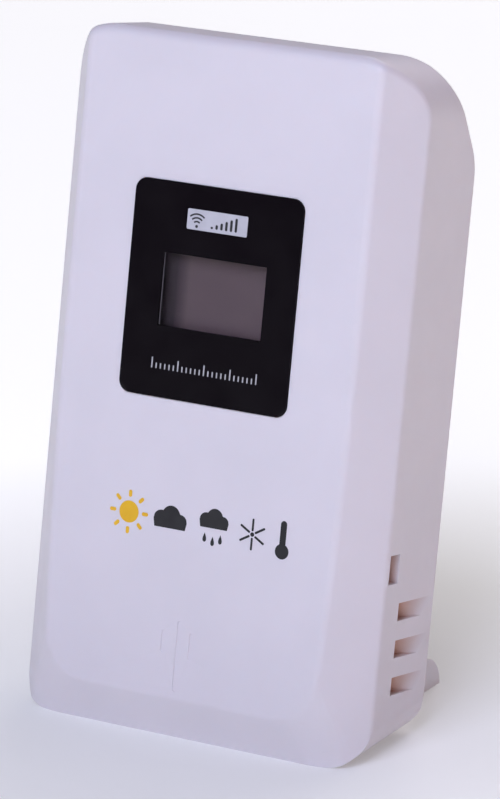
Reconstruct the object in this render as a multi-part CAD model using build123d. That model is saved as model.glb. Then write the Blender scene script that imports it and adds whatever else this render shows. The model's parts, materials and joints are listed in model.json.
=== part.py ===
from build123d import *
import math
import os

# Wireless outdoor temperature sensor: a white case with a display, leaning back on a fold-out stand.
# All dimensions are in millimetres. Everything is modelled in the case frame: X across the front,
# Y from the flat front panel (Y = 0) to the back, Z up the case from its lowest front edge (Z = 0).
# At the end the whole assembly is leaned back and set on the table plane.

# ---- case ----
WIDTH = 62.5
HEIGHT = 110.0
DEPTH = 25.0
WALL = 2.0
LEAN = 10.47                    # degrees between the case and the vertical when it stands on its foot
FOOT_EDGE_Y = 3.2               # where the slanted bottom meets Z = 0
TOP_CORNER_R = 9.5
BOTTOM_CORNER_R = 5.8
RIM_R = 1.7                     # rounding round the outline of both side faces
BACK_HEEL_R = 7.5
TOP_BACK_CORNER = (14.0, 110.0)   # Y, Z of the corner where the top meets the sloped upper back
UPPER_BACK_CORNER = (25.0, 94.3)  # Y, Z of the corner where that slope meets the flat back
TOP_BACK_R = 4.8
UPPER_BACK_R = 9.5

# ---- front panel and the facets around it ----
PANEL_HALF = 25.8
PANEL_TAPER = 1.3               # how far the panel's side creases lean in below PANEL_TAPER_Z
PANEL_TAPER_Z = 60.0
PANEL_BOTTOM_Z = 6.7
PANEL_CORNER_R = 7.5
FACET_DEPTH = 7.1
FACET_CORNER_R = 3.0
LEAST_CORNER_R = 0.6
FACET_LEAD = 1.0                # how far the facet loft runs past the panel plane
FACET_TAIL = 3.0                # and past the depth where the facets end
FACET_OVERLAP = 0.5             # how far the loft and the block behind it share
CREASE_R = 2.0
GROOVES = ((-3.0, 13.7, 17.3), (-0.3, 7.9, 19.1), (2.0, 13.3, 17.5))   # X, low Z, high Z
GROOVE_W = 0.8
GROOVE_T = 0.15

# ---- display label ----
LABEL_HALF = 14.94
LABEL_Z = (53.4, 87.0)
LABEL_R = 1.9
LABEL_PROUD = 0.25
LABEL_T = 0.85
ADHESIVE_T = 0.15
ADHESIVE_INSET = 0.5
LABEL_GAP = 0.1
WINDOW_X = (-9.0, 9.4)
WINDOW_Z = (64.55, 76.0)
LENS_MARGIN = 1.0
LENS_T = 1.0
LENS_GAP = 0.2

# ---- display stack ----
LCD_HALF = 12.0
LCD_Z = (60.8, 79.6)
FILM_T = 0.2
FILM_INSET = 0.1
FILM_Z = (63.2, 79.4)
LCD_FRONT_Y = 2.1
LCD_T = 2.0
HOLDER_HALF = 13.6
HOLDER_Z = (59.4, 81.0)
HOLDER_R = 1.0
HOLDER_FIT = 0.1
HOLDER_LIP = 0.8
ZEBRA_HALF = 11.0
ZEBRA_Z = (61.0, 62.4)

# ---- main board ----
BOARD_FRONT_Y = 6.0
BOARD_T = 1.2
BOARD_HALF = 25.4
BOARD_Z = (44.0, 84.0)
BOARD_R = 1.5
BOARD_REAR_Y = BOARD_FRONT_Y + BOARD_T
BOARD_SCREWS = ((-22.5, 47.0), (22.5, 47.0), (-22.5, 81.0), (22.5, 81.0))
BOARD_SCREW_R = 0.8
BOARD_SCREW_L = 3.4
BOARD_HEAD_R = 1.9
BOARD_HEAD_T = 1.3
BOARD_BOSS_R = 2.6
BOARD_HOLE_R = 1.2
CHIP_R = 6.0
CHIP_T = 1.6
CHIP_EDGE_R = 1.2
CHIP_AT = (8.0, 55.0)
CRYSTAL_R = 0.95
CRYSTAL_X = (-10.0, -4.0)
CRYSTAL_Z = 54.0
CRYSTAL_LIFT = 0.05
CRYSTAL_LEAD_R = 0.2
CRYSTAL_LEAD_L = 1.6
CAPACITOR_R = 2.5
CAPACITOR_H = 6.5
CAPACITOR_EDGE_R = 0.5
CAPACITOR_AT = (20.0, 72.0)
# X, Z of each small surface part on the main board
SMALL_PARTS = (
    (-16.0, 49.0), (-16.0, 51.5), (-13.0, 49.0), (-2.0, 48.0), (0.5, 48.0),
    (16.0, 59.0), (16.0, 61.5), (16.0, 70.0), (14.8, 73.0), (-4.0, 81.0), (-1.0, 81.0), (3.0, 81.0),
)
SMALL_PART_SIZE = (1.6, 0.5, 0.8)

# ---- radio ----
RADIO_X = (-24.2, -14.2)
RADIO_Z = (68.2, 78.6)
RADIO_T = 0.8
RADIO_REAR_Y = BOARD_REAR_Y + RADIO_T
RESONATOR_R = 2.2
RESONATOR_H = 2.6
RESONATOR_EDGE_R = 0.4
RESONATOR_AT = (-21.4, 74.4)
COIL_R = 2.5
COIL_WIRE_R = 0.4
COIL_PITCH = 1.6
COIL_TURNS = 12
COIL_AT = (-15.5, 10.5)         # X, Y of the upright coil's axis
COIL_Z = 84.0
COIL_FOOT_Z = 76.8

# ---- temperature probe ----
BEAD_R = 1.2
BEAD_AT = (27.2, 13.0, 18.6)
LEAD_R = 0.25
LEAD_SPREAD = 0.6
STUB_TOP_Z = 20.2
LEAD_BEND_R = 0.6
LEAD_RISE_Z = 24.0
LEAD_KNEE = (22.0, 10.5, 32.0)
LEAD_RUN = (18.0, 8.4)          # X, Y of the leads' upright run in front of the board's foot
LEAD_RUN_Z = (40.0, 45.5)

# ---- rear cover ----
COVER_GAP = 0.15
COVER_Z = (8.5, 98.0)
COVER_CORNER_R = 4.0
COVER_SKIN_Y = 14.0             # the cover is the part of the skin behind this depth
TONGUE_X = (9.0, 17.0)
TONGUE_Z = 100.5
TONGUE_ROOT_Z = 95.0
TONGUE_OVERLAP = 2.0
TONGUE_T = 1.4
TONGUE_GAP = 0.1
UPPER_SCREWS = ((-23.0, 89.0), (23.0, 89.0))
LOWER_SCREWS = ((-14.0, 20.0), (14.0, 20.0))
CASE_SCREW_R = 1.0
CASE_HEAD_R = 2.1
CASE_HEAD_T = 1.1
CASE_HOLE_R = 1.3
COUNTERBORE_R = 2.4
COUNTERBORE_T = 1.2
LOWER_SINK_T = 0.8
CASE_BOSS_R = 3.0
PILOT_FIT = 0.05
UPPER_SCREW_L = 12.0
LOWER_SCREW_L = 10.0
CROSS_W = 0.6
CROSS_L = 2.2
CROSS_T = 0.6
LEDGE_X = 28.05
LEDGE_Y = 19.5
LEDGES_Z = ((48.0, 54.0), (74.0, 80.0))
KEYHOLE_Z = 86.0
KEYHOLE_R = 3.6
KEYHOLE_SLOT_R = 1.9
KEYHOLE_SLOT_Z = 91.4
POCKET_HALF = 5.5
POCKET_Z = (81.8, 93.8)
POCKET_Y = 19.5
POCKET_WALL = 1.2

# ---- battery bay, control well and door ----
BAY_HALF = 24.7
BAY_Z = (43.3, 66.5)
BAY_FLOOR_Y = 10.6
BAY_WALL = 1.2
RIDGE_HALF = 20.0
RIDGE_Z = (54.2, 55.6)
RIDGE_H = 1.4
CELL_R = 5.25
CELL_LENGTH = 44.5
CELL_EDGE_R = 0.5
NUB_R = 1.9
NUB_H = 1.2
CELL_Y = 16.3
LOWER_CELL_Z = 49.1
UPPER_CELL_Z = 60.7
CONTACT_T = 0.3
CONTACT_Y = (11.2, 21.0)
CONTACT_HALF_H = 4.2
LINK_Z = (44.2, 65.6)
TAB_HALF_H = 1.0
TAB_Y = 5.2
TAB_SHIFT_Z = 3.0
TAB_SLOT_GAP = 0.2
SPRING_WIRE_R = 0.3
SPRING_R = 2.7
SPRING_TURNS = 3
SPRING_L = 4.3
WELL_HALF = 12.0
WELL_Z = (67.7, 77.5)
WELL_FLOOR_Y = 11.8
SEAT_HALF = 27.3
SEAT_Z = (40.2, 80.6)
SEAT_T = 1.6
SEAT_Y = DEPTH - WALL
DOOR_HALF = 25.9
DOOR_Z = (41.6, 79.2)
DOOR_GAP = 0.2
DOOR_R = 1.5
DOOR_INNER_Y = SEAT_Y + 0.1
DOOR_TAB_X = (9.0, 15.0)
DOOR_TAB_Y = (21.4, 22.9)
DOOR_TAB_Z = (38.9, 42.5)
DOOR_TAB_STEP = 0.15
NOTCH_GAP = 0.4
NOTCH_Y = 20.3
NOTCH_Z = (36.6, 46.0)
LATCH_HALF = 5.0
LATCH_Z = (75.4, 76.6)
LATCH_Y = 19.0
LATCH_BUMP_R = 0.4
GRIP_HALF = 6.0
GRIPS_Z = (70.0, 71.6, 73.2, 74.8)
GRIP_H = 0.7
GRIP_T = 0.4

# ---- controls ----
CONTROL_Z = 72.6
CHANNEL_X = -9.6                # the channel knob at the start of its travel
CHANNEL_TRAVEL = 4.0
CHANNEL_BODY = (8.6, 2.2, 3.6)
STEM_X = 0.8
STEM_Z = 0.6
STEM_FIT = 0.08
STEM_FLOOR_T = 1.0
STEM_LIFT = 0.1
KNOB_CAP = (3.8, 1.7, 3.2)
KNOB_CAP_Y = 11.95
KNOB_GROOVE = (0.5, 0.8)        # width and double depth of a groove across the knob
KNOB_GROOVE_PITCH = 1.1
BUTTON_X = (2.5, 8.5)
BUTTON_R = 2.0
BUTTON_FIT = 0.06
BUTTON_TOP_Y = 13.8
BUTTON_EDGE_R = 0.4
FLANGE_R = 2.6
FLANGE_Y = (10.0, 10.5)
SWITCH_HALF = 2.5
SWITCH_T = 1.8
SWITCH_FLOOR_T = 0.5
PLUNGER_R = 1.1
PLUNGER_Y = 8.3

# ---- stand ----
STAND_HALF = 23.6
STAND_LENGTH = 22.8
STAND_T = 5.5
STAND_SKIN = 1.6
STAND_TIP_R = 5.4
STAND_ROOT = 3.5                # solid length next to the hinge
RIB_X = (4.6, 18.0)
RIB_W = 1.2
RIB_DROP = 0.6
HINGE_Y = 21.4
HINGE_DROP = DEPTH - HINGE_Y    # from the hinge axis to the stand's outer face
HINGE_PIN_R = 1.45
HINGE_PIN_X = 25.5
HINGE_HOLE_X = 25.7
HINGE_FIT = 0.05
KNUCKLE_R = 2.4
KNUCKLE_L = 8.0
RECESS_GAP = 0.3
RECESS_FLOOR_Y = 18.7
RECESS_FLOOR_T = 1.4
RECESS_TOP_Z = 30.7
RECESS_TOP_T = 1.2
RECESS_WALL = 2.3
SCALLOP_HALF = 9.0
SCALLOP_R = 5.5
SCALLOP_AXIS = (27.2, 31.2)     # Y, Z
SCALLOP_PAD = 2.0
SCALLOP_PAD_Y = 19.5
SCALLOP_PAD_H = 7.0

# ---- side slots and louvres ----
SLOT_Y = (7.8, 10.9)
SLOT_Z = (29.2, 33.8)
ARM_X = (27.7, 28.9)
ARM_Z = (28.4, 34.6)
HOOK_X = 29.75
HOOK_GAP = 0.2
HOOK_ROOT_X = 28.3
HOOK_FLAT = 1.2
LOUVRES_Z = (11.3, 17.2, 23.1)
LOUVRE_H = 2.85
LOUVRE_Y = 12.0                 # the louvres' front end
LOUVRE_END_Y = (20.0, 22.8)     # where the ramp ends at the louvre's bottom and top
LOUVRE_HOLE_Y = 15.2            # where the hole through the wall ends
LOUVRE_RAMP = (1.33, 0.49)      # the ramp's middle: X from the wall's inner face, share of its length
LOUVRE_OUT = 0.25
LOUVRE_IN = 1.25
LOUVRE_LIP = 0.8

SIDE_HALF = WIDTH / 2
INNER_HALF = SIDE_HALF - WALL
SLOPE = math.tan(math.radians(LEAN))
FAR = 200.0
NUDGE = 0.02                    # keeps corner roundings from grazing the flat faces they blend into
EMBED = 0.4                     # how far a boss or arm sinks into the wall it grows from
PAST = 1.0                      # how far a cutting shape runs past the face it opens


def base_z(y):
    """Height of the slanted bottom face at depth y."""
    return SLOPE * (y - FOOT_EDGE_Y)


HINGE_Z = base_z(HINGE_Y) + HINGE_DROP / math.cos(math.radians(LEAN))


# ---- small helpers ----
def block(x0, x1, y0, y1, z0, z1):
    """A box between two corners."""
    centre = Pos((x0 + x1) / 2, (y0 + y1) / 2, (z0 + z1) / 2)
    return centre * Box(x1 - x0, y1 - y0, z1 - z0)


def wide_block(half, y0, y1, z0, z1):
    """A box centred on X = 0."""
    return block(-half, half, y0, y1, z0, z1)


def rod_x(radius, x0, x1, y, z):
    """A cylinder along X."""
    return Pos((x0 + x1) / 2, y, z) * Rot(0, 90, 0) * Cylinder(radius, x1 - x0)


def rod_y(radius, y0, y1, x, z):
    """A cylinder along Y."""
    return Pos(x, (y0 + y1) / 2, z) * Rot(90, 0, 0) * Cylinder(radius, y1 - y0)


def slab(sketch, y0, y1):
    """An X-Z outline made solid from y0 to y1."""
    return extrude(Plane.XZ.offset(-y0) * sketch, amount=-(y1 - y0))


def bar(sketch, x0, x1):
    """A Y-Z outline made solid from x0 to x1."""
    return extrude(Plane.YZ.offset(x0) * sketch, amount=x1 - x0)


def outline(half, z0, z1, low_r, high_r, x=0.0):
    """A rectangle in X-Z with its own corner radius at the bottom and at the top."""
    shape = Pos(x, (z0 + z1) / 2) * Rectangle(2 * half, z1 - z0)
    if low_r > 0:
        shape = fillet(shape.vertices().group_by(Axis.Y)[0], low_r)
    if high_r > 0:
        shape = fillet(shape.vertices().group_by(Axis.Y)[-1], high_r)
    return shape


def rounded_slab(half, z_range, radius, y0, y1):
    """A rounded rectangle centred on X = 0, from y0 to y1."""
    return slab(outline(half, z_range[0], z_range[1], radius, radius), y0, y1)


def mirrored(shape):
    """The same shape on the other side of the X = 0 plane."""
    return mirror(shape, about=Plane.YZ)


def both_sides(shape):
    """A shape together with its mirror image."""
    return shape + mirrored(shape)


def window_block(margin, y0, y1):
    """A box through the display window, larger all round by margin."""
    x0, x1 = WINDOW_X
    z0, z1 = WINDOW_Z
    return block(x0 - margin, x1 + margin, y0, y1, z0 - margin, z1 + margin)


def screw(head_r, head_t, shank_r, length, head_y, x, z):
    """A cross-head screw pointing forward, its head seated at head_y."""
    head = rod_y(head_r, head_y, head_y + head_t, x, z)
    top = head_y + head_t
    for spin in (0, 90):
        arm = Box(CROSS_L, 2 * CROSS_T, CROSS_W)
        head -= Pos(x, top, z) * Rot(0, spin, 0) * arm
    return head + rod_y(shank_r, head_y - length, head_y, x, z)


# ---- case envelope ----
def side_profile(inset):
    """The case seen from its side, in Y-Z, shrunk inwards by inset."""
    corners = Polyline(
        (0, base_z(0)),
        (DEPTH, base_z(DEPTH)),
        UPPER_BACK_CORNER,
        TOP_BACK_CORNER,
        (0, HEIGHT),
        close=True,
    )
    face = make_face(corners)
    heel = face.vertices().group_by(Axis.X)[-1].sort_by(Axis.Y)[0]
    face = fillet(heel, BACK_HEEL_R)
    upper = face.vertices().sort_by_distance(UPPER_BACK_CORNER)[0]
    face = fillet(upper, UPPER_BACK_R)
    top = face.vertices().sort_by_distance(TOP_BACK_CORNER)[0]
    face = fillet(top, TOP_BACK_R)
    if inset:
        face = offset(face, -inset, kind=Kind.INTERSECTION)
    return face


def facet_outline(y, inset):
    """The section of the tapering front at depth y: open above, rounded below."""
    share = y / FACET_DEPTH
    half = PANEL_HALF + (SIDE_HALF - PANEL_HALF) * share
    low = PANEL_BOTTOM_Z * (1 - y / FOOT_EDGE_Y)
    side_lean = math.hypot(FACET_DEPTH, SIDE_HALF - PANEL_HALF) / FACET_DEPTH
    low_lean = math.hypot(FOOT_EDGE_Y, PANEL_BOTTOM_Z) / FOOT_EDGE_Y
    half -= inset * side_lean
    low += inset * low_lean
    radius = PANEL_CORNER_R + (FACET_CORNER_R - PANEL_CORNER_R) * share - inset
    radius = max(radius, LEAST_CORNER_R)
    taper = PANEL_TAPER * (1 - share)
    waist = low + radius
    bend = (half - taper / 4, (PANEL_TAPER_Z + waist) / 2)
    right = half - taper
    side = ThreePointArc((half, PANEL_TAPER_Z), bend, (right, waist))
    diagonal = radius * math.sqrt(0.5)
    corner = ThreePointArc(
        (right, waist),
        (right - radius + diagonal, waist - diagonal),
        (right - radius, low),
    )
    straight = Line((half, FAR), (half, PANEL_TAPER_Z))
    half_edges = Curve() + [straight, side, corner]
    other = mirror(half_edges, about=Plane.YZ)
    caps = [Line((half, FAR), (-half, FAR)), Line((right - radius, low), (radius - right, low))]
    return make_face(half_edges + other + caps)


def facet_solid(inset):
    """Everything inside the panel's facets."""
    near, far = -FACET_LEAD, FACET_DEPTH + FACET_TAIL
    front = Plane.XZ.offset(-near) * facet_outline(near, inset)
    back = Plane.XZ.offset(-far) * facet_outline(far, inset)
    return loft([front, back], ruled=True)


def on_outline(point):
    """Whether a point lies on the outline seen from the front: the sides, the top or its corners."""
    x, z = abs(point.X), point.Z
    corner_x, corner_z = SIDE_HALF - TOP_CORNER_R, HEIGHT - TOP_CORNER_R
    if z <= corner_z:
        return abs(x - SIDE_HALF) < NUDGE
    if x <= corner_x:
        return abs(z - HEIGHT) < NUDGE
    return abs(math.hypot(x - corner_x, z - corner_z) - TOP_CORNER_R) < NUDGE


def round_rims(body):
    """Round the edges where that outline meets the front and the back."""
    rims = []
    for edge in body.edges():
        run = (edge @ 1) - (edge @ 0)
        is_seam = math.hypot(run.X, run.Z) < NUDGE
        if not is_seam and all(on_outline(edge @ share) for share in (0, 0.25, 0.5, 0.75, 1)):
            rims.append(edge)
    return fillet(rims, RIM_R)


def round_creases(body):
    """Round the edges between the front panel and its side and bottom facets."""
    panel = body.faces().sort_by(Axis.Y)[0]
    low = [edge for edge in panel.edges() if (edge @ 0.5).Z < HEIGHT - TOP_BACK_R]
    return fillet(low, CREASE_R)


def envelope(inset, finished=False):
    """The case's outer form, shrunk by inset; finished rounds its edges."""
    sides = SIDE_HALF - inset
    body = bar(side_profile(inset), -sides, sides)
    behind = wide_block(FAR, FACET_DEPTH + FACET_TAIL - FACET_OVERLAP, FAR, -FAR, FAR)
    body &= facet_solid(inset) + behind
    if finished:
        body = round_creases(body)
    body &= slab(outline(sides, -FAR, HEIGHT - inset, 0, TOP_CORNER_R - inset), -FAR, FAR)
    if finished:
        body = round_rims(body)
    corner_r = BOTTOM_CORNER_R - inset + NUDGE
    foot = slab(outline(sides + NUDGE, inset - NUDGE, FAR, corner_r, 0), -FAR, FAR)
    body &= Pos(0, FOOT_EDGE_Y, 0) * Rot(LEAN, 0, 0) * foot
    right = body & block(0, FAR, -FAR, FAR, -FAR, FAR)
    return both_sides(right)


# ---- case ----
def recess_box(half, y0, z1):
    """The space of the stand recess, open below and behind."""
    return wide_block(half, y0, FAR, -FAR, z1)


def cover_opening(gap):
    """The opening in the back of the case, smaller all round by gap."""
    z_range = (COVER_Z[0] + gap, COVER_Z[1] - gap)
    return rounded_slab(INNER_HALF - gap, z_range, COVER_CORNER_R - gap, COVER_SKIN_Y, FAR)


def louvre_section(end_y):
    """One level of a louvre, in X-Y: a hole through the wall, with a ramp that fades out at end_y."""
    y0 = LOUVRE_Y
    outer = SIDE_HALF + LOUVRE_OUT
    inner = INNER_HALF - LOUVRE_IN
    bend = (INNER_HALF + LOUVRE_RAMP[0], LOUVRE_HOLE_Y + LOUVRE_RAMP[1] * (end_y - LOUVRE_HOLE_Y))
    ramp = ThreePointArc((SIDE_HALF, end_y), bend, (INNER_HALF, LOUVRE_HOLE_Y))
    rest = Polyline(
        (INNER_HALF, LOUVRE_HOLE_Y),
        (inner, LOUVRE_HOLE_Y - LOUVRE_LIP),
        (inner, y0),
        (outer, y0),
        (outer, end_y),
        (SIDE_HALF, end_y),
    )
    return make_face(Curve() + [ramp, rest])


def louvre(z):
    """One side louvre; its ramp reaches further back at the top than at the bottom."""
    low = Plane.XY.offset(z) * louvre_section(LOUVRE_END_Y[0])
    high = Plane.XY.offset(z + LOUVRE_H) * louvre_section(LOUVRE_END_Y[1])
    return loft([low, high], ruled=True)


def side_slot():
    """The snap window in the right side wall."""
    return block(INNER_HALF - PAST, SIDE_HALF + PAST, SLOT_Y[0], SLOT_Y[1], SLOT_Z[0], SLOT_Z[1])


def front_shell(outer, inner):
    """Front, sides, top and bottom of the case in one moulding."""
    body = outer - inner
    bosses = []
    for x, z in BOARD_SCREWS:
        bosses.append(rod_y(BOARD_BOSS_R, WALL - EMBED, BOARD_FRONT_Y, x, z))
    for x, z in UPPER_SCREWS:
        bosses.append(rod_y(CASE_BOSS_R, WALL - EMBED, DEPTH - WALL, x, z))
    for x, z in LOWER_SCREWS:
        bosses.append(rod_y(CASE_BOSS_R, WALL - EMBED, RECESS_FLOOR_Y - RECESS_FLOOR_T, x, z))
    for z0, z1 in LEDGES_Z:
        ledge = block(LEDGE_X, INNER_HALF + EMBED, LEDGE_Y, DEPTH - WALL, z0, z1)
        bosses.append(both_sides(ledge))
    for boss in bosses:
        body += boss
    body -= cover_opening(0)
    wall = RECESS_WALL + RECESS_GAP + COVER_GAP
    notch = recess_box(STAND_HALF + wall, RECESS_FLOOR_Y - RECESS_FLOOR_T - COVER_GAP, COVER_Z[0] + PAST)
    body -= notch
    for x, z in BOARD_SCREWS:
        depth = BOARD_REAR_Y - BOARD_SCREW_L - EMBED
        body -= rod_y(BOARD_SCREW_R + PILOT_FIT, depth, BOARD_FRONT_Y + PAST, x, z)
    for x, z in UPPER_SCREWS:
        bottom = DEPTH - COUNTERBORE_T - UPPER_SCREW_L - EMBED
        body -= rod_y(CASE_SCREW_R + PILOT_FIT, bottom, DEPTH, x, z)
    for x, z in LOWER_SCREWS:
        bottom = RECESS_FLOOR_Y - LOWER_SINK_T - LOWER_SCREW_L - EMBED
        body -= rod_y(CASE_SCREW_R + PILOT_FIT, bottom, DEPTH, x, z)
    label_z = (LABEL_Z[0] - LABEL_GAP, LABEL_Z[1] + LABEL_GAP)
    floor_y = LABEL_T - LABEL_PROUD + ADHESIVE_T
    body -= rounded_slab(LABEL_HALF + LABEL_GAP, label_z, LABEL_R + LABEL_GAP, -PAST, floor_y)
    body -= window_block(LENS_MARGIN + LENS_GAP, -PAST, WALL + PAST)
    for x, z0, z1 in GROOVES:
        groove = outline(GROOVE_W / 2, z0, z1, GROOVE_W / 2 - NUDGE, GROOVE_W / 2 - NUDGE, x)
        body -= slab(groove, -PAST, GROOVE_T)
    body -= both_sides(side_slot())
    for z in LOUVRES_Z:
        body -= both_sides(louvre(z))
    return body


def snap_arm():
    """The cover's right-hand arm, hooked into the side slot."""
    x0, x1 = ARM_X
    arm = block(x0, x1, SLOT_Y[0] + HOOK_GAP / 2, DEPTH - WALL + EMBED, ARM_Z[0], ARM_Z[1])
    hook_z = (SLOT_Z[0] + HOOK_GAP, SLOT_Z[1] - HOOK_GAP)
    front_y = SLOT_Y[0] + HOOK_GAP / 2
    back_y = SLOT_Y[1] - HOOK_GAP / 2
    nose = Polyline(
        (HOOK_ROOT_X, front_y),
        (x1, front_y),
        (HOOK_X, back_y - HOOK_FLAT),
        (HOOK_X, back_y),
        (HOOK_ROOT_X, back_y),
        close=True,
    )
    hook = extrude(Plane.XY.offset(hook_z[0]) * make_face(nose), amount=hook_z[1] - hook_z[0])
    return arm + hook


def rear_cover(outer, inner):
    """Back plate with the battery bay, control well, keyhole, stand recess and snap arms."""
    plate_y = DEPTH - WALL
    body = (outer - inner) & cover_opening(COVER_GAP)

    # stand recess, its walls running down to the bottom face
    wall_half = STAND_HALF + RECESS_GAP + RECESS_WALL
    floor_y = RECESS_FLOOR_Y - RECESS_FLOOR_T
    body += outer & recess_box(wall_half, floor_y, RECESS_TOP_Z + RECESS_TOP_T)
    pad_z = (RECESS_TOP_Z, RECESS_TOP_Z + SCALLOP_PAD_H)
    body += wide_block(SCALLOP_HALF + SCALLOP_PAD, SCALLOP_PAD_Y, DEPTH - PAST, pad_z[0], pad_z[1])

    # keyhole pocket, battery bay, control well and the seat round the door
    z0, z1 = POCKET_Z
    wall = POCKET_WALL
    body += wide_block(POCKET_HALF + wall, POCKET_Y - wall, DEPTH - PAST, z0 - wall, z1 + wall)
    bay_z = (BAY_Z[0] - BAY_WALL, BAY_Z[1] + BAY_WALL)
    body += wide_block(BAY_HALF + BAY_WALL, BAY_FLOOR_Y - BAY_WALL, plate_y, bay_z[0], bay_z[1])
    well_z = (BAY_Z[1], WELL_Z[1] + BAY_WALL)
    body += wide_block(WELL_HALF + BAY_WALL, WELL_FLOOR_Y - BAY_WALL, plate_y, well_z[0], well_z[1])
    body += wide_block(SEAT_HALF, plate_y - SEAT_T, plate_y, SEAT_Z[0], SEAT_Z[1])
    body += both_sides(snap_arm())
    for top, gap, reach in ((TONGUE_ROOT_Z + TONGUE_OVERLAP, 0.0, -EMBED), (TONGUE_Z, TONGUE_GAP, 0.0)):
        strip = envelope(WALL + gap + reach) - envelope(WALL + TONGUE_T)
        box = block(TONGUE_X[0], TONGUE_X[1], COVER_SKIN_Y - PAST, FAR, TONGUE_ROOT_Z, top)
        body += both_sides(strip & box)

    # hollows
    body -= recess_box(STAND_HALF + RECESS_GAP, RECESS_FLOOR_Y, RECESS_TOP_Z)
    body -= rod_x(SCALLOP_R, -SCALLOP_HALF, SCALLOP_HALF, *SCALLOP_AXIS)
    body -= wide_block(BAY_HALF, BAY_FLOOR_Y, FAR, BAY_Z[0], BAY_Z[1])
    body -= wide_block(WELL_HALF, WELL_FLOOR_Y, FAR, WELL_Z[0], WELL_Z[1])
    door_z = (DOOR_Z[0] - DOOR_GAP, DOOR_Z[1] + DOOR_GAP)
    body -= rounded_slab(DOOR_HALF + DOOR_GAP, door_z, DOOR_R + DOOR_GAP, plate_y, FAR)
    notch_x = (DOOR_TAB_X[0] - NOTCH_GAP, DOOR_TAB_X[1] + NOTCH_GAP)
    notch = block(notch_x[0], notch_x[1], NOTCH_Y, plate_y, NOTCH_Z[0], NOTCH_Z[1])
    body -= both_sides(notch)
    body -= wide_block(POCKET_HALF, POCKET_Y, plate_y, z0, z1)
    body -= rod_y(KEYHOLE_R, POCKET_Y, FAR, 0, KEYHOLE_Z)
    body -= rod_y(KEYHOLE_SLOT_R, POCKET_Y, FAR, 0, KEYHOLE_SLOT_Z)
    body -= wide_block(KEYHOLE_SLOT_R, POCKET_Y, FAR, KEYHOLE_Z, KEYHOLE_SLOT_Z)
    hinge_hole = rod_x(HINGE_PIN_R + HINGE_FIT, STAND_HALF - PAST, HINGE_HOLE_X, HINGE_Y, HINGE_Z)
    body -= both_sides(hinge_hole)

    # screw holes
    for x, z in UPPER_SCREWS:
        body -= rod_y(CASE_HOLE_R, POCKET_Y, FAR, x, z)
        body -= rod_y(COUNTERBORE_R, DEPTH - COUNTERBORE_T, FAR, x, z)
    for x, z in LOWER_SCREWS:
        body -= rod_y(CASE_HOLE_R, floor_y - PAST, FAR, x, z)
        body -= rod_y(COUNTERBORE_R, RECESS_FLOOR_Y - LOWER_SINK_T, FAR, x, z)

    # openings in the control well's floor, and slots for the battery contacts
    floor_cut = (WELL_FLOOR_Y - BAY_WALL - PAST, WELL_FLOOR_Y + PAST)
    body -= stem_slot(floor_cut[0], floor_cut[1])
    for x in BUTTON_X:
        body -= rod_y(BUTTON_R + BUTTON_FIT, floor_cut[0], floor_cut[1], x, CONTROL_Z)
    for tab_z in contact_tab_heights():
        body -= tab_slot(tab_z, BAY_FLOOR_Y - BAY_WALL - PAST, BAY_FLOOR_Y)
    body += wide_block(RIDGE_HALF, BAY_FLOOR_Y - EMBED, BAY_FLOOR_Y + RIDGE_H, RIDGE_Z[0], RIDGE_Z[1])
    return body


# ---- display label and display ----
def label_plate():
    """The thin plate round the display window, standing slightly proud of the panel."""
    body = rounded_slab(LABEL_HALF, LABEL_Z, LABEL_R, -LABEL_PROUD, LABEL_T - LABEL_PROUD)
    return body - window_block(0, -PAST, WALL)


def label_adhesive():
    """The adhesive sheet behind the label plate."""
    z_range = (LABEL_Z[0] + ADHESIVE_INSET, LABEL_Z[1] - ADHESIVE_INSET)
    y0 = LABEL_T - LABEL_PROUD
    half = LABEL_HALF - ADHESIVE_INSET
    body = rounded_slab(half, z_range, LABEL_R - ADHESIVE_INSET, y0, y0 + ADHESIVE_T)
    return body - window_block(LENS_MARGIN + LENS_GAP, -PAST, WALL)


def window_lens():
    """The clear pane behind the label's window."""
    y0 = LABEL_T - LABEL_PROUD
    return window_block(LENS_MARGIN, y0, y0 + LENS_T)


def lcd_layers():
    """Front polariser, glass cell and reflector, stacked from the front."""
    y0 = LCD_FRONT_Y
    y1 = y0 + FILM_T
    y2 = y1 + LCD_T
    film_half = LCD_HALF - FILM_INSET
    return {
        "lcd_polariser": wide_block(film_half, y0, y1, FILM_Z[0], FILM_Z[1]),
        "lcd_cell": wide_block(LCD_HALF, y1, y2, LCD_Z[0], LCD_Z[1]),
        "lcd_reflector": wide_block(film_half, y2, y2 + FILM_T, FILM_Z[0], FILM_Z[1]),
        "zebra_connector": wide_block(ZEBRA_HALF, y2, BOARD_FRONT_Y, ZEBRA_Z[0], ZEBRA_Z[1]),
    }


def lcd_holder():
    """The frame that holds the display between the front wall and the board."""
    body = rounded_slab(HOLDER_HALF, HOLDER_Z, HOLDER_R, WALL, BOARD_FRONT_Y)
    lip_y = LCD_FRONT_Y + LCD_T + 2 * FILM_T + HOLDER_FIT / 2
    half = LCD_HALF + HOLDER_FIT
    z0, z1 = LCD_Z
    body -= wide_block(half, WALL - PAST, lip_y, z0 - HOLDER_FIT, z1 + HOLDER_FIT)
    body -= wide_block(half - HOLDER_LIP, WALL, BOARD_FRONT_Y + PAST, z0, z1 - HOLDER_LIP)
    return body


# ---- main board and what it carries ----
def circuit_board():
    """The main board with its screw holes and contact slots."""
    body = rounded_slab(BOARD_HALF, BOARD_Z, BOARD_R, BOARD_FRONT_Y, BOARD_REAR_Y)
    for x, z in BOARD_SCREWS:
        body -= rod_y(BOARD_HOLE_R, BOARD_FRONT_Y - PAST, BOARD_REAR_Y + PAST, x, z)
    for tab_z in contact_tab_heights():
        body -= tab_slot(tab_z, BOARD_FRONT_Y - PAST, BOARD_REAR_Y + PAST)
    return body


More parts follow.
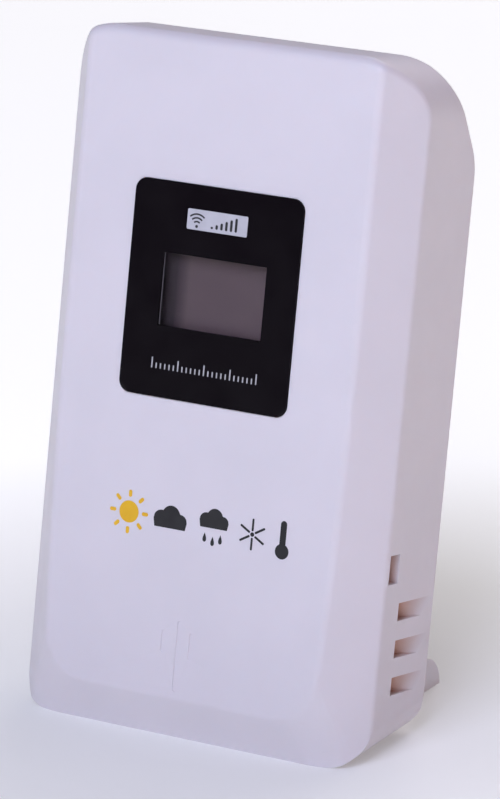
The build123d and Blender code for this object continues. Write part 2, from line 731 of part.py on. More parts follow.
def controller_chip():
    """The display driver under its moulded dome."""
    x, z = CHIP_AT
    dome = rod_y(CHIP_R, BOARD_REAR_Y, BOARD_REAR_Y + CHIP_T, x, z)
    return fillet(dome.edges().group_by(Axis.Y)[-1], CHIP_EDGE_R)


def timing_crystal():
    """A small can lying on the board, with its two leads bent down into it."""
    y = BOARD_REAR_Y + CRYSTAL_R + CRYSTAL_LIFT
    x0, x1 = CRYSTAL_X
    body = rod_x(CRYSTAL_R, x0, x1, y, CRYSTAL_Z)
    end = x1 + CRYSTAL_LEAD_L
    for side in (-1, 1):
        z = CRYSTAL_Z + side * CRYSTAL_R / 2
        body += rod_x(CRYSTAL_LEAD_R, x1 - EMBED, end, y, z)
        body += rod_y(CRYSTAL_LEAD_R, BOARD_REAR_Y, y + CRYSTAL_LEAD_R, end - CRYSTAL_LEAD_R, z)
    return body


def filter_capacitor():
    """An upright capacitor can."""
    x, z = CAPACITOR_AT
    can = rod_y(CAPACITOR_R, BOARD_REAR_Y, BOARD_REAR_Y + CAPACITOR_H, x, z)
    return fillet(can.edges().group_by(Axis.Y)[-1], CAPACITOR_EDGE_R)


def chip_components():
    """The small surface parts on the back of the main board."""
    sx, sy, sz = SMALL_PART_SIZE
    y = BOARD_REAR_Y + sy / 2
    return [Pos(x, y, z) * Box(sx, sy, sz) for x, z in SMALL_PARTS]


def radio_parts():
    """The radio board, its resonator can and the upright coil aerial."""
    x0, x1 = RADIO_X
    board = block(x0, x1, BOARD_REAR_Y, RADIO_REAR_Y, RADIO_Z[0], RADIO_Z[1])
    x, z = RESONATOR_AT
    can = rod_y(RESONATOR_R, RADIO_REAR_Y, RADIO_REAR_Y + RESONATOR_H, x, z)
    can = fillet(can.edges().group_by(Axis.Y)[-1], RESONATOR_EDGE_R)
    turns = Helix(COIL_PITCH, COIL_PITCH * COIL_TURNS, COIL_R)
    start = Plane(turns @ 0, z_dir=turns % 0)
    wire = sweep(start * Circle(COIL_WIRE_R), path=turns, is_frenet=True)
    cx, cy = COIL_AT
    coil = Pos(cx, cy, COIL_Z) * Rot(0, 0, 180) * wire
    leg_x = cx - COIL_R
    leg_h = COIL_Z - COIL_FOOT_Z
    leg = Pos(leg_x, cy, COIL_FOOT_Z + leg_h / 2) * Cylinder(COIL_WIRE_R, leg_h)
    elbow = Pos(leg_x, cy, COIL_FOOT_Z) * Sphere(COIL_WIRE_R)
    knee = Pos(leg_x, cy, COIL_Z) * Sphere(COIL_WIRE_R)
    foot = rod_y(COIL_WIRE_R, RADIO_REAR_Y, cy, leg_x, COIL_FOOT_Z)
    coil += leg + elbow + knee + foot
    return {"radio_board": board, "radio_resonator": can, "antenna_coil": coil}


def temperature_probe():
    """The probe bead behind the side louvres and the two leads that carry it."""
    bx, by, bz = BEAD_AT
    kx, ky, kz = LEAD_KNEE
    run_x, run_y = LEAD_RUN
    low_z, high_z = LEAD_RUN_Z
    bead = Pos(bx, by, bz) * Sphere(BEAD_R)
    leads = []
    for side in (-1, 1):
        shift = side * LEAD_SPREAD
        stub_h = STUB_TOP_Z - bz
        bead += Pos(bx, by + shift, bz + stub_h / 2) * Cylinder(LEAD_R, stub_h)
        path = FilletPolyline(
            (bx, by + shift, STUB_TOP_Z),
            (bx, by + shift, LEAD_RISE_Z),
            (kx + shift / 2, ky + shift, kz),
            (run_x + shift, run_y, low_z),
            (run_x + shift, run_y, high_z),
            (run_x + shift, BOARD_REAR_Y, high_z),
            radius=LEAD_BEND_R,
        )
        leads.append(sweep(Plane(path @ 0, z_dir=path % 0) * Circle(LEAD_R), path=path))
    return {"temperature_sensor": bead, "sensor_leads": leads}


# ---- batteries and contacts ----
def battery(z, plus_side):
    """One cell; plus_side is 1 when its raised contact points towards +X."""
    body_end = BAY_HALF - CONTACT_T - NUB_H
    body_start = BAY_HALF - CONTACT_T - CELL_LENGTH
    can = rod_x(CELL_R, body_start, body_end, CELL_Y, z)
    can = fillet(can.edges().filter_by(GeomType.CIRCLE), CELL_EDGE_R)
    cell = can + rod_x(NUB_R, body_end - EMBED, body_end + NUB_H, CELL_Y, z)
    return cell if plus_side > 0 else mirrored(cell)


def battery_springs():
    """The two springs that press on the flat ends of the cells."""
    height = SPRING_L - 2 * SPRING_WIRE_R
    turns = Helix(height / SPRING_TURNS, height, SPRING_R)
    wire = sweep(Plane(turns @ 0, z_dir=turns % 0) * Circle(SPRING_WIRE_R), path=turns, is_frenet=True)
    start = BAY_HALF - CONTACT_T - SPRING_WIRE_R
    right = Pos(start, CELL_Y, UPPER_CELL_Z) * Rot(0, -90, 0) * wire
    left = Pos(-start, CELL_Y, LOWER_CELL_Z) * Rot(0, 90, 0) * wire
    return [right, left]


def contact_tab_heights():
    """Where the two right-hand contacts pass down through the board."""
    return (LOWER_CELL_Z + TAB_SHIFT_Z, UPPER_CELL_Z + TAB_SHIFT_Z)


def tab_slot(z, y0, y1):
    """The clearance slot round one contact tab."""
    gap = TAB_SLOT_GAP
    x1 = BAY_HALF + gap / 2
    return block(x1 - CONTACT_T - gap, x1, y0, y1, z - TAB_HALF_H - gap, z + TAB_HALF_H + gap)


def battery_contacts():
    """The link plate on the left and the two terminals on the right."""
    x0, x1 = BAY_HALF - CONTACT_T, BAY_HALF
    y0, y1 = CONTACT_Y
    plates = {"battery_link_plate": block(-x1, -x0, y0, y1, LINK_Z[0], LINK_Z[1])}
    heights = (LOWER_CELL_Z, UPPER_CELL_Z)
    names = ("positive_terminal", "negative_terminal")
    for name, z, tab_z in zip(names, heights, contact_tab_heights()):
        plate = block(x0, x1, y0, y1, z - CONTACT_HALF_H, z + CONTACT_HALF_H)
        tab = block(x0, x1, TAB_Y, y0 + EMBED, tab_z - TAB_HALF_H, tab_z + TAB_HALF_H)
        plates[name] = plate + tab
    return plates


def battery_door():
    """The lid over the batteries and controls, hooked under the cover at its lower edge."""
    body = rounded_slab(DOOR_HALF, DOOR_Z, DOOR_R, DOOR_INNER_Y, DEPTH)
    x0, x1 = DOOR_TAB_X
    y0, y1 = DOOR_TAB_Y
    z0, z1 = DOOR_TAB_Z
    tab = block(x0, x1, y0, y1, z0, z1)
    tab += block(x0, x1, y0, DOOR_INNER_Y + EMBED, DOOR_Z[0] + DOOR_TAB_STEP, z1)
    body += both_sides(tab)
    body += wide_block(LATCH_HALF, LATCH_Y, DOOR_INNER_Y + EMBED, LATCH_Z[0], LATCH_Z[1])
    body += rod_x(LATCH_BUMP_R, -LATCH_HALF, LATCH_HALF, LATCH_Y + 2 * LATCH_BUMP_R, LATCH_Z[1])
    for z in GRIPS_Z:
        body -= rounded_slab(GRIP_HALF, (z, z + GRIP_H), GRIP_H / 2 - NUDGE, DEPTH - GRIP_T, FAR)
    return body


# ---- controls ----
def stem_slot(y0, y1):
    """The slot the channel knob's stem slides along."""
    half_z = STEM_Z + STEM_FIT
    x0 = CHANNEL_X - STEM_X - 2 * STEM_FIT
    x1 = CHANNEL_X + CHANNEL_TRAVEL + STEM_X + 2 * STEM_FIT
    return block(x0, x1, y0, y1, CONTROL_Z - half_z, CONTROL_Z + half_z)


def channel_switch():
    """The channel slide switch and its knob."""
    sx, sy, sz = CHANNEL_BODY
    middle = CHANNEL_X + CHANNEL_TRAVEL / 2
    y0 = BOARD_REAR_Y
    floor_y = y0 + STEM_FLOOR_T
    body = block(middle - sx / 2, middle + sx / 2, y0, y0 + sy, CONTROL_Z - sz / 2, CONTROL_Z + sz / 2)
    body -= stem_slot(floor_y, y0 + sy + PAST)
    cx, cy, cz = KNOB_CAP
    x0, x1 = CHANNEL_X - STEM_X, CHANNEL_X + STEM_X
    z0, z1 = CONTROL_Z - STEM_Z, CONTROL_Z + STEM_Z
    knob = block(x0, x1, floor_y + STEM_LIFT, KNOB_CAP_Y + EMBED, z0, z1)
    knob += Pos(CHANNEL_X, KNOB_CAP_Y + cy / 2, CONTROL_Z) * Box(cx, cy, cz)
    groove = Box(KNOB_GROOVE[0], KNOB_GROOVE[1], cz + PAST)
    for step in (-1, 0, 1):
        knob -= Pos(CHANNEL_X + step * KNOB_GROOVE_PITCH, KNOB_CAP_Y + cy, CONTROL_Z) * groove
    return {"channel_switch_body": body, "channel_switch_knob": knob}


def push_button(name, x):
    """One push switch: body on the board, plunger, and the cap that shows in the well."""
    y0 = BOARD_REAR_Y
    z = CONTROL_Z
    half = SWITCH_HALF
    body = block(x - half, x + half, y0, y0 + SWITCH_T, z - half, z + half)
    body -= rod_y(PLUNGER_R + BUTTON_FIT, y0 + SWITCH_FLOOR_T, y0 + SWITCH_T + PAST, x, z)
    plunger = rod_y(PLUNGER_R, PLUNGER_Y, FLANGE_Y[0], x, z)
    cap = rod_y(BUTTON_R, FLANGE_Y[0], BUTTON_TOP_Y, x, z)
    cap = fillet(cap.edges().group_by(Axis.Y)[-1], BUTTON_EDGE_R)
    cap += rod_y(FLANGE_R, FLANGE_Y[0], FLANGE_Y[1], x, z)
    return {name + "_switch": body, name + "_plunger": plunger, name + "_button": cap}


# ---- stand ----
def stand():
    """The fold-out foot: a ribbed tray with stub pins, modelled unfolded on the table."""
    low = -HINGE_DROP
    high = low + STAND_T
    tip = STAND_LENGTH
    r = STAND_TIP_R
    section = Pos(tip / 2, (low + high) / 2) * Rectangle(tip, STAND_T)
    corner = section.vertices().group_by(Axis.Y)[-1].sort_by(Axis.X)[-1]
    body = bar(fillet(corner, r), -STAND_HALF, STAND_HALF)
    floor = low + STAND_SKIN
    inner_r = r - STAND_SKIN
    arc_x = tip - r
    arc_z = high - r
    half_root = math.sqrt(0.5) * inner_r
    edge_z = floor + NUDGE
    reach = math.sqrt(inner_r ** 2 - (edge_z - arc_z) ** 2)
    arc_end = (arc_x, arc_z + inner_r)
    arc_start = (arc_x + reach, edge_z)
    straight = Polyline(
        arc_end,
        (arc_x - PAST, arc_z + inner_r),
        (arc_x - PAST, high + PAST),
        (STAND_ROOT, high + PAST),
        (STAND_ROOT, floor),
        (arc_x + reach, floor),
        arc_start,
    )
    hollow = Curve() + [
        straight,
        ThreePointArc(arc_start, (arc_x + half_root, arc_z + half_root), arc_end),
    ]
    body -= bar(make_face(hollow), -STAND_HALF + STAND_SKIN, STAND_HALF - STAND_SKIN)
    rib_y = (STAND_ROOT - EMBED, arc_x + PAST)
    rib_z = (floor - EMBED, arc_z + inner_r - RIB_DROP)
    for x in RIB_X:
        rib = block(x - RIB_W / 2, x + RIB_W / 2, rib_y[0], rib_y[1], rib_z[0], rib_z[1])
        body += both_sides(rib)
    knuckle = rod_x(KNUCKLE_R, STAND_HALF - KNUCKLE_L, STAND_HALF, 0, 0)
    body += both_sides(knuckle)
    body += both_sides(rod_x(HINGE_PIN_R, STAND_HALF - PAST, HINGE_PIN_X, 0, 0))
    return Pos(0, HINGE_Y, HINGE_Z) * Rot(LEAN, 0, 0) * body


# ---- screws ----
def case_screws():
    """Four screws from the back into the case bosses."""
    screws = []
    for x, z in UPPER_SCREWS:
        seat = DEPTH - COUNTERBORE_T
        screws.append(screw(CASE_HEAD_R, CASE_HEAD_T, CASE_SCREW_R, UPPER_SCREW_L, seat, x, z))
    for x, z in LOWER_SCREWS:
        seat = RECESS_FLOOR_Y - LOWER_SINK_T
        screws.append(screw(CASE_HEAD_R, CASE_HEAD_T, CASE_SCREW_R, LOWER_SCREW_L, seat, x, z))
    return screws


def board_screws():
    """Four screws that hold the main board."""
    return [
        screw(BOARD_HEAD_R, BOARD_HEAD_T, BOARD_SCREW_R, BOARD_SCREW_L, BOARD_REAR_Y, x, z)
        for x, z in BOARD_SCREWS
    ]


# ---- assembly ----
def build_parts():
    """Every piece in the case frame, by name; a list is a group of loose solids."""
    outer = envelope(0, finished=True)
    inner = envelope(WALL)
    parts = {
        "front_shell": front_shell(outer, inner),
        "rear_cover": rear_cover(outer, inner),
        "label_plate": label_plate(),
        "label_adhesive": label_adhesive(),
        "window_lens": window_lens(),
        "lcd_holder": lcd_holder(),
        "circuit_board": circuit_board(),
        "controller_chip": controller_chip(),
        "timing_crystal": timing_crystal(),
        "filter_capacitor": filter_capacitor(),
        "chip_components": chip_components(),
        "battery_lower": battery(LOWER_CELL_Z, 1),
        "battery_upper": battery(UPPER_CELL_Z, -1),
        "battery_springs": battery_springs(),
        "battery_door": battery_door(),
        "stand": stand(),
        "case_screws": case_screws(),
        "board_screws": board_screws(),
    }
    parts.update(lcd_layers())
    parts.update(radio_parts())
    parts.update(temperature_probe())
    parts.update(battery_contacts())
    parts.update(channel_switch())
    for name, x in zip(("transmit", "unit"), BUTTON_X):
        parts.update(push_button(name, x))
    return parts


def placement(parts):
    """Lean the case back on its foot and centre the assembly over the origin."""
    lean = Rot(-LEAN, 0, 0)
    front = (lean * parts["front_shell"]).bounding_box().min.Y
    back = (lean * parts["stand"]).bounding_box().max.Y
    table = FOOT_EDGE_Y * math.sin(math.radians(LEAN))
    return Pos(0, -(front + back) / 2, table) * lean


def main():
    os.makedirs("parts", exist_ok=True)
    parts = build_parts()
    place = placement(parts)
    for name, shape in parts.items():
        loose = shape if isinstance(shape, list) else [shape]
        solids = [place * solid for piece in loose for solid in piece.solids()]
        result = solids[0] if len(solids) == 1 else Compound(children=solids)
        export_step(result, f"parts/{name}.step")


if __name__ == "__main__":
    main()
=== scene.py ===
import json
import math

import bmesh
import bpy
from mathutils import Matrix, Vector


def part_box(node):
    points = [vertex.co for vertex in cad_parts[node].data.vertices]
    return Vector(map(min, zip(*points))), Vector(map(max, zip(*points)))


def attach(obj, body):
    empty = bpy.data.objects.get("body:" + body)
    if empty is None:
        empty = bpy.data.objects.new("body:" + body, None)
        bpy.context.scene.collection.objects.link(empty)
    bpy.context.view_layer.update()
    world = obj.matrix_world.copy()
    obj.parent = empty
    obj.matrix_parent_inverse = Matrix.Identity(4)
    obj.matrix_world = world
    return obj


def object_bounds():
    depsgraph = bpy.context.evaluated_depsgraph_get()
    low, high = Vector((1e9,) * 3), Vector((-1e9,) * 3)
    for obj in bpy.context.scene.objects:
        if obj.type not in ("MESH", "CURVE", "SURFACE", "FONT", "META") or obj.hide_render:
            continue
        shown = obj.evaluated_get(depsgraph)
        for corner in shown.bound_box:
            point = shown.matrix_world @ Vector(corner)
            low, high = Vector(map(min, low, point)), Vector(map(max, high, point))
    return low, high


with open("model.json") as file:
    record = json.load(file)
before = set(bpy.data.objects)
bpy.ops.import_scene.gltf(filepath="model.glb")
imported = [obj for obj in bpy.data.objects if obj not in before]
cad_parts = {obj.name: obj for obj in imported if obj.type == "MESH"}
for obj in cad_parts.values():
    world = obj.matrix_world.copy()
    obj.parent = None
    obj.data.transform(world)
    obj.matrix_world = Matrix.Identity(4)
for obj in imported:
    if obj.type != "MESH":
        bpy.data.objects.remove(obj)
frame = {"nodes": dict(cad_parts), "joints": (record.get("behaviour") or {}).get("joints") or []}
CAD_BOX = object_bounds()
NODES = frame["nodes"]
JOINTS = {joint["name"]: joint for joint in frame["joints"]}
MM = 0.001

# ---- the case frame: X across, BACK from the front panel to the rear, UP along the case ----
FRONT = Vector(JOINTS["transmit_press"]["axis"]).normalized()
BACK = -FRONT
ACROSS = Vector((1, 0, 0))
UP = ACROSS.cross(BACK)
LABEL_LOW, LABEL_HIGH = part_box("label_plate")
LABEL_CENTRE = (LABEL_LOW + LABEL_HIGH) / 2
LABEL_HEIGHT = 33.6             # the label plate's height, mm
LABEL_MID_Z = 70.2              # case height of the label plate's centre, mm
LABEL_MID_Y = 0.175             # and its depth
CASE = Matrix((
    (ACROSS.x, BACK.x, UP.x),
    (ACROSS.y, BACK.y, UP.y),
    (ACROSS.z, BACK.z, UP.z),
))
ORIGIN = LABEL_CENTRE - CASE @ Vector((0, LABEL_MID_Y, LABEL_MID_Z)) * MM


def at(x, y, z):
    """A point given in the case frame in mm, as a point of the scene."""
    return ORIGIN + CASE @ Vector((x, y, z)) * MM


# ---- materials ----
GRAIN_DEPTH = 0.02              # depth of a moulding's fine grain, mm
SKIN_COLOURS = (1.0, 0.55, 0.45)
SKIN_DEPTH = 1.5                # how far light spreads inside white plastic, mm
LINE_SCALE = 900                # fineness of a metal's drawn lines
DULL_PATCH = 3.0                # size of a metal's dull patches, mm
METAL_DEPTH = 0.01
SLEEVE_PATCH, SLEEVE_DEPTH = 2.5, 0.01
TRACK_SCALE, TRACK_GAP, TRACK_DEPTH = 260, 0.012, 0.03
TRACK_SHADES = {
    "Color1": (0.012, 0.11, 0.04, 1), "Color2": (0.016, 0.13, 0.05, 1), "Mortar": (0.03, 0.22, 0.09, 1),
}
MASK_GREEN = (0.02, 0.16, 0.06)
OPENINGS = (("Y", 7.6, 23.0), ("Z", 10.0, 35.0))    # where the side walls' openings lie, mm
OPENING_EDGE = 0.05


def shader(name):
    """A new material with its node tree and its principled shader."""
    material = bpy.data.materials.new(name)
    material.use_nodes = True
    tree = material.node_tree
    return material, tree, tree.nodes["Principled BSDF"]


def noise(tree, size_mm, detail=2.0, roughness=0.5, distortion=0.0):
    """Noise whose features are about size_mm across."""
    coords = tree.nodes.new("ShaderNodeTexCoord")
    node = tree.nodes.new("ShaderNodeTexNoise")
    node.inputs["Scale"].default_value = 1 / (size_mm * MM)
    node.inputs["Detail"].default_value = detail
    node.inputs["Roughness"].default_value = roughness
    node.inputs["Distortion"].default_value = distortion
    tree.links.new(coords.outputs["Object"], node.inputs["Vector"])
    return node.outputs["Fac"]


def remap(tree, value, low, high, start=0.3, end=0.7):
    """A value from start to end, stretched to run from low to high."""
    node = tree.nodes.new("ShaderNodeMapRange")
    node.inputs["From Min"].default_value = start
    node.inputs["From Max"].default_value = end
    node.inputs["To Min"].default_value = low
    node.inputs["To Max"].default_value = high
    tree.links.new(value, node.inputs["Value"])
    return node.outputs["Result"]


def mix(tree, factor, first, second):
    """Two colours, or sockets, mixed by a factor."""
    node = tree.nodes.new("ShaderNodeMix")
    node.data_type = "RGBA"
    tree.links.new(factor, node.inputs["Factor"])
    a = [s for s in node.inputs if s.name == "A" and s.type == "RGBA"][0]
    b = [s for s in node.inputs if s.name == "B" and s.type == "RGBA"][0]
    for socket, colour in ((a, first), (b, second)):
        if isinstance(colour, tuple):
            socket.default_value = (*colour, 1)
        else:
            tree.links.new(colour, socket)
    return [s for s in node.outputs if s.type == "RGBA"][0]


def bump(tree, bsdf, height, distance_mm, strength):
    """Bump from a height value."""
    node = tree.nodes.new("ShaderNodeBump")
    node.inputs["Strength"].default_value = strength
    node.inputs["Distance"].default_value = distance_mm * MM
    tree.links.new(height, node.inputs["Height"])
    tree.links.new(node.outputs["Normal"], bsdf.inputs["Normal"])


def moulded(name, light, dark, rough=(0.38, 0.48), grain=0.35, strength=0.12, patch=14.0,
            subsurface=0.0, specular=0.5, coat=0.0):
    """Moulded plastic: two close tones in broad patches, uneven gloss and a fine grain."""
    material, tree, bsdf = shader(name)
    tone = remap(tree, noise(tree, patch, 3.0), 0.0, 1.0)
    tree.links.new(mix(tree, tone, light, dark), bsdf.inputs["Base Color"])
    gloss = remap(tree, noise(tree, patch / 4, 4.0), rough[0], rough[1])
    tree.links.new(gloss, bsdf.inputs["Roughness"])
    bump(tree, bsdf, noise(tree, grain, 3.0), GRAIN_DEPTH, strength)
    bsdf.inputs["Specular IOR Level"].default_value = specular
    bsdf.inputs["Coat Weight"].default_value = coat
    if subsurface:
        bsdf.inputs["Subsurface Weight"].default_value = subsurface
        bsdf.inputs["Subsurface Radius"].default_value = SKIN_COLOURS
        bsdf.inputs["Subsurface Scale"].default_value = SKIN_DEPTH * MM
    return material


def metal(name, light, dark, rough=(0.22, 0.38), stretch=(1, 1, 12)):
    """Plated metal with fine drawn lines and dull patches."""
    material, tree, bsdf = shader(name)
    coords = tree.nodes.new("ShaderNodeTexCoord")
    mapping = tree.nodes.new("ShaderNodeMapping")
    mapping.inputs["Scale"].default_value = stretch
    lines = tree.nodes.new("ShaderNodeTexNoise")
    lines.inputs["Scale"].default_value = LINE_SCALE
    lines.inputs["Detail"].default_value = 4
    tree.links.new(coords.outputs["Object"], mapping.inputs["Vector"])
    tree.links.new(mapping.outputs["Vector"], lines.inputs["Vector"])
    tone = remap(tree, noise(tree, DULL_PATCH, 3.0), 0.0, 1.0)
    tree.links.new(mix(tree, tone, light, dark), bsdf.inputs["Base Color"])
    gloss = remap(tree, lines.outputs["Fac"], rough[0], rough[1])
    tree.links.new(gloss, bsdf.inputs["Roughness"])
    bump(tree, bsdf, lines.outputs["Fac"], METAL_DEPTH, 0.1)
    bsdf.inputs["Metallic"].default_value = 1
    return material


def split_by_x(tree, edges, colours, softness=0.00005):
    """Colours that change at given X positions along the object."""
    coords = tree.nodes.new("ShaderNodeTexCoord")
    split = tree.nodes.new("ShaderNodeSeparateXYZ")
    tree.links.new(coords.outputs["Object"], split.inputs["Vector"])
    colour = colours[0]
    for edge, following in zip(edges, colours[1:]):
        step = remap(tree, split.outputs["X"], 0.0, 1.0, edge - softness, edge + softness)
        colour = mix(tree, step, colour, following)
    return colour


def coloured(name, edges, colours, rough, metallic=0.0, grain=0.5):
    """A printed sleeve: colours by X position, with slightly uneven gloss."""
    material, tree, bsdf = shader(name)
    tree.links.new(split_by_x(tree, edges, colours), bsdf.inputs["Base Color"])
    gloss = remap(tree, noise(tree, SLEEVE_PATCH, 3.0), rough[0], rough[1])
    tree.links.new(gloss, bsdf.inputs["Roughness"])
    bump(tree, bsdf, noise(tree, grain, 2.0), SLEEVE_DEPTH, 0.08)
    bsdf.inputs["Metallic"].default_value = metallic
    return material


def clear(name, tint, rough, ior=1.49):
    """Clear plastic or glass with faint uneven polish."""
    material, tree, bsdf = shader(name)
    gloss = remap(tree, noise(tree, 6.0, 2.0), rough[0], rough[1])
    tree.links.new(gloss, bsdf.inputs["Roughness"])
    bsdf.inputs["Base Color"].default_value = (*tint, 1)
    bsdf.inputs["Transmission Weight"].default_value = 1.0
    bsdf.inputs["IOR"].default_value = ior
    bump(tree, bsdf, noise(tree, 9.0, 1.0), 0.01, 0.02)
    return material


def board_look(name):
    """Green solder mask with darker tracks and uneven tone."""
    material, tree, bsdf = shader(name)
    coords = tree.nodes.new("ShaderNodeTexCoord")
    tracks = tree.nodes.new("ShaderNodeTexBrick")
    tracks.inputs["Scale"].default_value = TRACK_SCALE
    tracks.inputs["Mortar Size"].default_value = TRACK_GAP
    for part, shade in TRACK_SHADES.items():
        tracks.inputs[part].default_value = shade
    turn = tree.nodes.new("ShaderNodeMapping")
    turn.inputs["Rotation"].default_value = (math.radians(90), 0, 0)
    tree.links.new(coords.outputs["Object"], turn.inputs["Vector"])
    tree.links.new(turn.outputs["Vector"], tracks.inputs["Vector"])
    tone = remap(tree, noise(tree, 4.0, 3.0), 0.0, 0.5)
    colour = mix(tree, tone, tracks.outputs["Color"], MASK_GREEN)
    tree.links.new(colour, bsdf.inputs["Base Color"])
    tree.links.new(remap(tree, noise(tree, 1.0, 2.0), 0.25, 0.4), bsdf.inputs["Roughness"])
    bump(tree, bsdf, tracks.outputs["Fac"], TRACK_DEPTH, 0.3)
    return material


def paint_recess_shade_and_glow(material, start, end, tint):
    """Paint shade and a warm glow onto the faces inside the side walls' openings, where they lie in
    shade and light glows through the plastic.
    """
    tree = material.node_tree
    bsdf = tree.nodes["Principled BSDF"]
    plain = bsdf.inputs["Base Color"].links[0].from_socket
    coords = tree.nodes.new("ShaderNodeTexCoord")
    turn = tree.nodes.new("ShaderNodeMapping")
    turn.inputs["Location"].default_value = -(CASE.transposed() @ ORIGIN)
    turn.inputs["Rotation"].default_value = CASE.transposed().to_euler()
    split = tree.nodes.new("ShaderNodeSeparateXYZ")
    depth = tree.nodes.new("ShaderNodeMath")
    depth.operation = "ABSOLUTE"
    tree.links.new(coords.outputs["Object"], turn.inputs["Vector"])
    tree.links.new(turn.outputs["Vector"], split.inputs["Vector"])
    tree.links.new(split.outputs["X"], depth.inputs[0])
    share = remap(tree, depth.outputs["Value"], 1.0, 0.0, start * MM, end * MM)
    for axis, low, high in OPENINGS:
        for edge, inside in ((low, 1.0), (high, -1.0)):
            gate = remap(tree, split.outputs[axis], 0.5 - inside / 2, 0.5 + inside / 2,
                         (edge - OPENING_EDGE) * MM, (edge + OPENING_EDGE) * MM)
            both = tree.nodes.new("ShaderNodeMath")
            both.operation = "MULTIPLY"
            tree.links.new(share, both.inputs[0])
            tree.links.new(gate, both.inputs[1])
            share = both.outputs["Value"]
    # mix the painted shade and glow tint into the plastic's colour
    tree.links.new(mix(tree, share, plain, tint), bsdf.inputs["Base Color"])


def shade_left(material, start, end, tint):
    """Darken the display towards its left edge, where the deep window frame shades it."""
    tree = material.node_tree
    bsdf = tree.nodes["Principled BSDF"]
    plain = bsdf.inputs["Base Color"].links[0].from_socket
    coords = tree.nodes.new("ShaderNodeTexCoord")
    split = tree.nodes.new("ShaderNodeSeparateXYZ")
    tree.links.new(coords.outputs["Object"], split.inputs["Vector"])
    share = remap(tree, split.outputs["X"], 1.0, 0.0, start * MM, end * MM)
    tree.links.new(mix(tree, share, plain, tint), bsdf.inputs["Base Color"])


WHITE_LIGHT = (0.76, 0.71, 0.755)
WHITE_DARK = (0.73, 0.685, 0.73)
LOOKS = {
    "case": moulded("case_moulding", WHITE_LIGHT, WHITE_DARK, subsurface=0.12),
    "cover": moulded(
        "cover_moulding", (0.785, 0.755, 0.805), (0.755, 0.725, 0.775), subsurface=0.12, grain=0.5),
    # painted light: the stand's plastic is lighter and bluer than the case's, lifting the shade it sits
    # in under the body
    "stand": moulded(
        "stand_moulding_painted_light", (0.84, 0.82, 0.885), (0.81, 0.79, 0.855), subsurface=0.12, grain=0.5),
    "label": moulded(
        "label_black", (0.0052, 0.0036, 0.0052), (0.0070, 0.0052, 0.0070), (0.16, 0.26),
        grain=0.5, strength=0.04, patch=20, specular=0.13),
    "adhesive": moulded("adhesive_film", (0.7, 0.7, 0.66), (0.62, 0.62, 0.58), (0.6, 0.8)),
    "holder": moulded("holder_grey", (0.40, 0.40, 0.41), (0.35, 0.35, 0.36), (0.4, 0.55)),
    "rubber": moulded(
        "connector_rubber", (0.55, 0.28, 0.33), (0.45, 0.2, 0.25), (0.6, 0.8), 0.2, 0.3),
    "resin": moulded(
        "black_resin", (0.012, 0.012, 0.012), (0.02, 0.02, 0.021), (0.25, 0.5), 0.4, 0.3, 5),
    "black": moulded(
        "switch_black", (0.02, 0.02, 0.021), (0.03, 0.03, 0.031), (0.4, 0.55), 0.2, 0.2, 4),
    "grey": moulded(
        "control_grey", (0.16, 0.165, 0.18), (0.13, 0.135, 0.15), (0.42, 0.55), 0.2, 0.2, 5),
    "sleeve": moulded(
        "capacitor_sleeve", (0.01, 0.02, 0.06), (0.015, 0.03, 0.08), (0.3, 0.4), 0.3, 0.1, 4),
    "board": board_look("solder_mask"),
    "tin": metal("tinned_metal", (0.75, 0.74, 0.72), (0.6, 0.59, 0.58)),
    "nickel": metal("nickel_plate", (0.78, 0.76, 0.72), (0.66, 0.64, 0.6), (0.15, 0.3)),
    "zinc": metal("zinc_screw", (0.5, 0.5, 0.52), (0.36, 0.36, 0.38), (0.28, 0.45)),
    "copper": metal("enamelled_copper", (0.72, 0.32, 0.15), (0.55, 0.22, 0.09), (0.2, 0.32)),
    "pane": clear("clear_pane", (0.97, 0.98, 0.98), (0.01, 0.05)),
    "glass": clear("display_glass", (0.86, 0.88, 0.86), (0.02, 0.06), 1.52),
    "polariser": moulded(
        "polariser_film", (0.215, 0.150, 0.165), (0.240, 0.168, 0.184), (0.32, 0.42), 0.4, 0.06, 9),
    "reflector": moulded("reflector_film", (0.30, 0.29, 0.27), (0.26, 0.25, 0.24), (0.4, 0.55)),
}
RECESS_PAINT_DEPTHS = (29.4, 31.2)      # X from full painted shade and glow to none, mm
RECESS_SHADE_AND_GLOW_TINT = (0.61, 0.34, 0.24)
SHADE_SPAN = (-7.4, -5.0)       # X from full shade to none, mm
SHADE_TINT = (0.078, 0.058, 0.068)
# painted shade and warm glow on the faces inside the side walls' openings
paint_recess_shade_and_glow(LOOKS["case"], *RECESS_PAINT_DEPTHS, RECESS_SHADE_AND_GLOW_TINT)
shade_left(LOOKS["polariser"], *SHADE_SPAN, SHADE_TINT)
CELL_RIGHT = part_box("battery_lower")
CELL_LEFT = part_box("battery_upper")
STEEL = (0.62, 0.61, 0.6)
SLEEVE = (0.02, 0.05, 0.09)
BAND = (0.30, 0.31, 0.33)
STRIPE = (0.55, 0.19, 0.03)
SLEEVE_MARKS = (0.0009, 0.0275, 0.0285, 0.0425)     # where the sleeve's colours change, m


def cell_look(name, low, high, plus_side):
    """A dry cell's sleeve: bare steel ends, a pale band, and colour at the raised end."""
    shades = (STEEL, SLEEVE, BAND, STRIPE, STEEL)
    if plus_side > 0:
        edges = [low.x + mark for mark in SLEEVE_MARKS]
    else:
        edges = [high.x - mark for mark in reversed(SLEEVE_MARKS)]
        shades = shades[::-1]
    return coloured(name, edges, shades, (0.18, 0.34), 0.35)


LOOKS["cell_lower"] = cell_look("cell_sleeve_lower", *CELL_RIGHT, 1)
LOOKS["cell_upper"] = cell_look("cell_sleeve_upper", *CELL_LEFT, -1)

